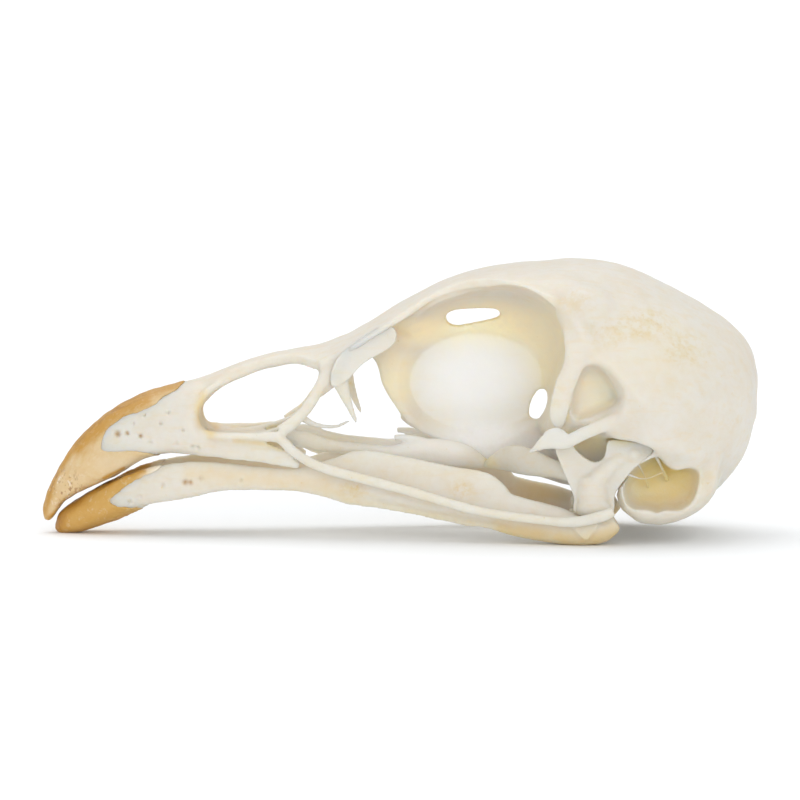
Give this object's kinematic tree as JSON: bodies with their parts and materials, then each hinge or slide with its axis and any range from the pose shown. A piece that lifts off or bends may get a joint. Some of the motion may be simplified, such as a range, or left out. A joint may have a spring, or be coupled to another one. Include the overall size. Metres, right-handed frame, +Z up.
{
  "type": "chukar skull",
  "caption": "Bird skull with lower jaw closed on it: curved bill with amber horn sheaths, large eye sockets and a rounded braincase.",
  "frame": {"origin": "centre of the skull's box, on the table that it rests on", "axes": "+X from the bill to the back of the head, +Y to the bird's right, +Z up"},
  "size_m": [0.0572, 0.0218, 0.0221],
  "materials": {
    "bone": "dry ivory bone, warmer in the hollows",
    "horn": "translucent amber horn with pale flakes"
  },
  "bodies": {
    "root": {"braincase": "bone", "frontal_roof": "bone", "orbital_septum": "bone", "upper_jaw": "bone", "upper_bill_sheath": "horn", "lacrimal_left": "bone", "lacrimal_right": "bone", "jugal_left": "bone", "jugal_right": "bone", "palatine_left": "bone", "palatine_right": "bone", "pterygoid_left": "bone", "pterygoid_right": "bone", "quadrate_left": "bone", "quadrate_right": "bone", "mandible": "bone", "lower_bill_sheath": "horn"}
  },
  "joints": []
}
